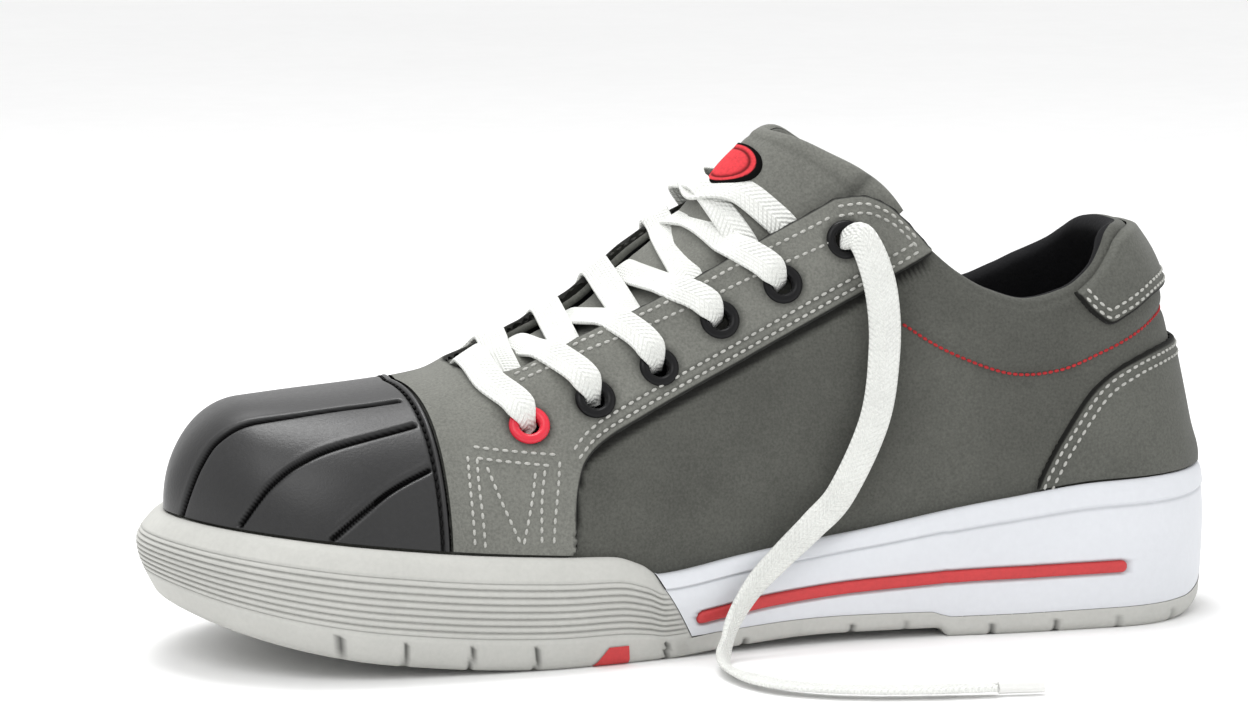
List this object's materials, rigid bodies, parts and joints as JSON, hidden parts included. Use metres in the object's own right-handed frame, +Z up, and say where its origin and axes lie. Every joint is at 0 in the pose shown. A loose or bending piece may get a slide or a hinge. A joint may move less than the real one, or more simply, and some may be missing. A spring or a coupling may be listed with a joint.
{
  "type": "safety shoe",
  "caption": "Low lace-up safety shoe for the right foot: hollow leather upper, hard toe cap, padded collar and tongue, white cup midsole and ribbed rubber toe bumper.",
  "frame": {"origin": "centre of the sole's box on the floor, the lace's free end left out", "axes": "+X from toe to heel along the shoe, +Y to the outer side, +Z up from the floor"},
  "size_m": [0.3009, 0.1742, 0.137],
  "materials": {
    "leather": "matt grey nubuck",
    "cap": "dark grey moulded, satin",
    "label": "plain red",
    "lining": "black textile",
    "outsole": "light grey, matt",
    "midsole": "white, satin",
    "red_rubber": "red, satin",
    "eyelet": "black enamel",
    "eyelet_red": "red enamel",
    "lace": "white flat woven lace",
    "aglet": "clear-white tip"
  },
  "bodies": {
    "root": {"upper": "leather", "toe_cap": "cap", "facing": "leather", "heel_counter": "leather", "heel_tab": "leather", "tongue": "leather", "tongue_label": "label", "insole": "lining", "outsole": "outsole", "midsole": "midsole", "midsole_stripe_medial": "red_rubber", "midsole_stripe_lateral": "red_rubber", "flex_line": "red_rubber", "eyelet_medial_1": "eyelet_red", "eyelet_medial_2": "eyelet", "eyelet_medial_3": "eyelet", "eyelet_medial_4": "eyelet", "eyelet_medial_5": "eyelet", "eyelet_medial_6": "eyelet", "eyelet_lateral_1": "eyelet_red", "eyelet_lateral_2": "eyelet", "eyelet_lateral_3": "eyelet", "eyelet_lateral_4": "eyelet", "eyelet_lateral_5": "eyelet", "eyelet_lateral_6": "eyelet", "lace_crossings": "lace", "lace_end": "lace", "lace_aglet": "aglet"}
  },
  "joints": []
}
